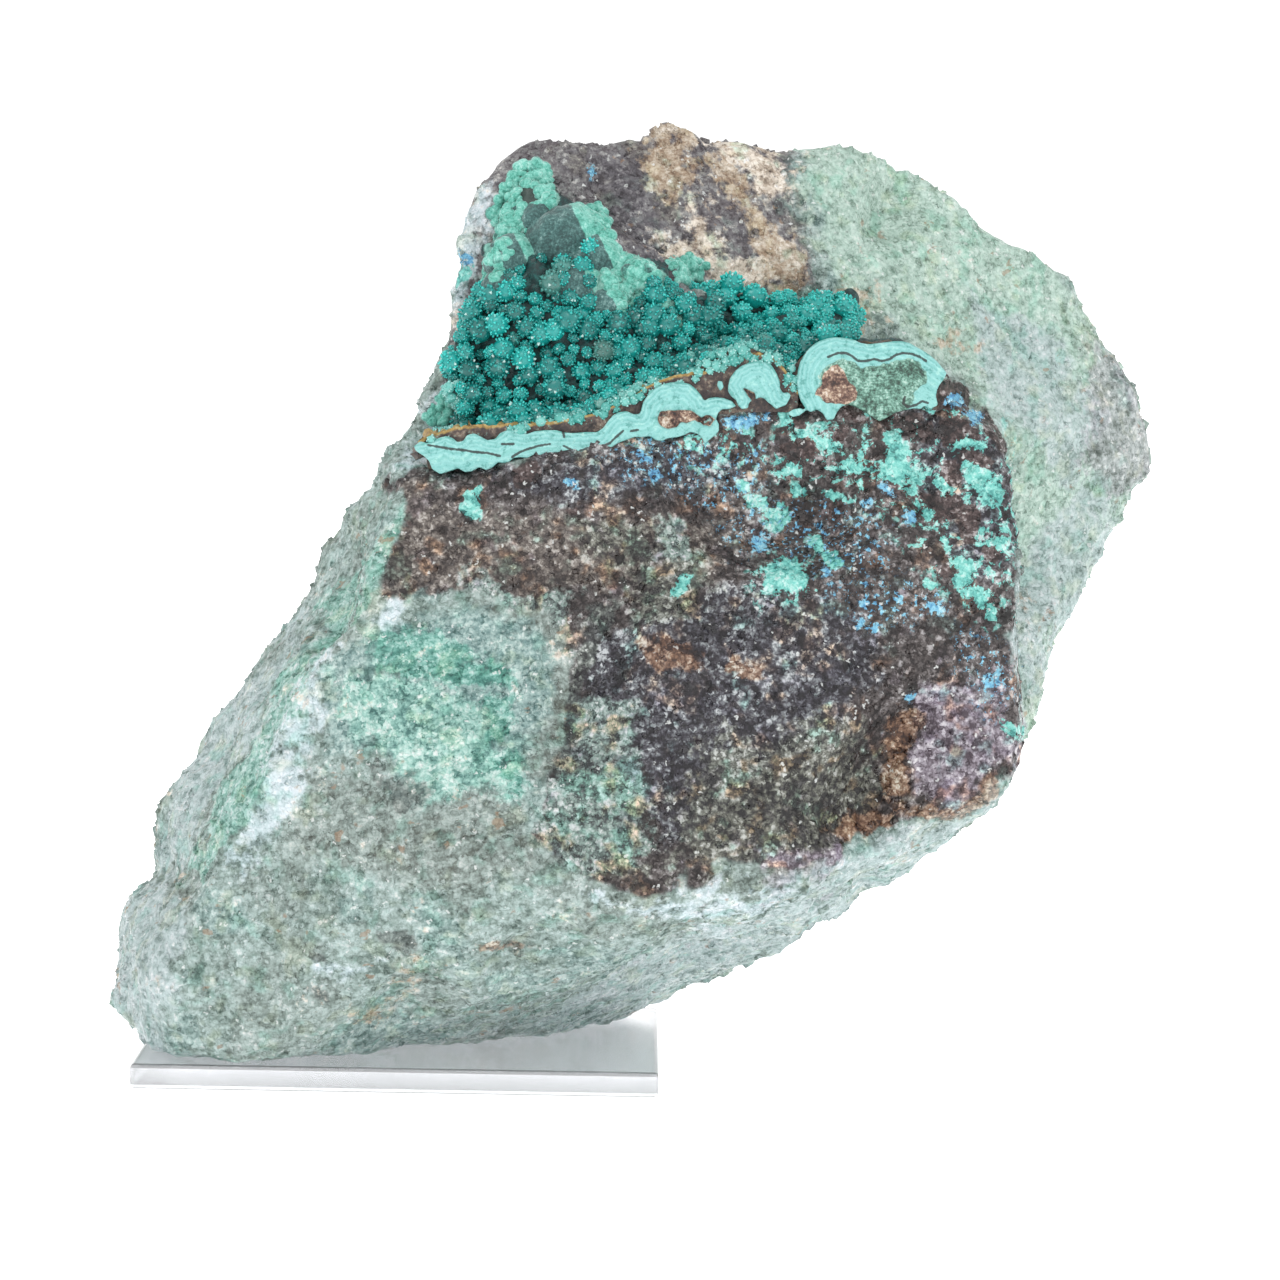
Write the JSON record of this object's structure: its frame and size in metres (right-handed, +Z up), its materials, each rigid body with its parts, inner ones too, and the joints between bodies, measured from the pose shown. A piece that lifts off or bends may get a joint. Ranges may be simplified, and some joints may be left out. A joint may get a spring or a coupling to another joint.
{
  "type": "brochantite mineral specimen",
  "caption": "Broken block of green and brown copper ore rock with a teal brochantite druse and banded malachite lip in a hollow, resting on a thin clear square base.",
  "frame": {"origin": "centre of the display base's underside", "axes": "+Z up, -Y towards the face that carries the malachite lip, +X to the right seen from there"},
  "size_m": [0.0646, 0.041, 0.0581],
  "materials": {
    "rock": "rough broken quartz rock, stained green and brown",
    "crystal": "sparkling teal crystal druse with a banded mint malachite lip",
    "base": "clear polished acrylic"
  },
  "bodies": {
    "root": {"matrix_rock": "rock", "brochantite_crust": "crystal", "display_base": "base"}
  },
  "joints": []
}
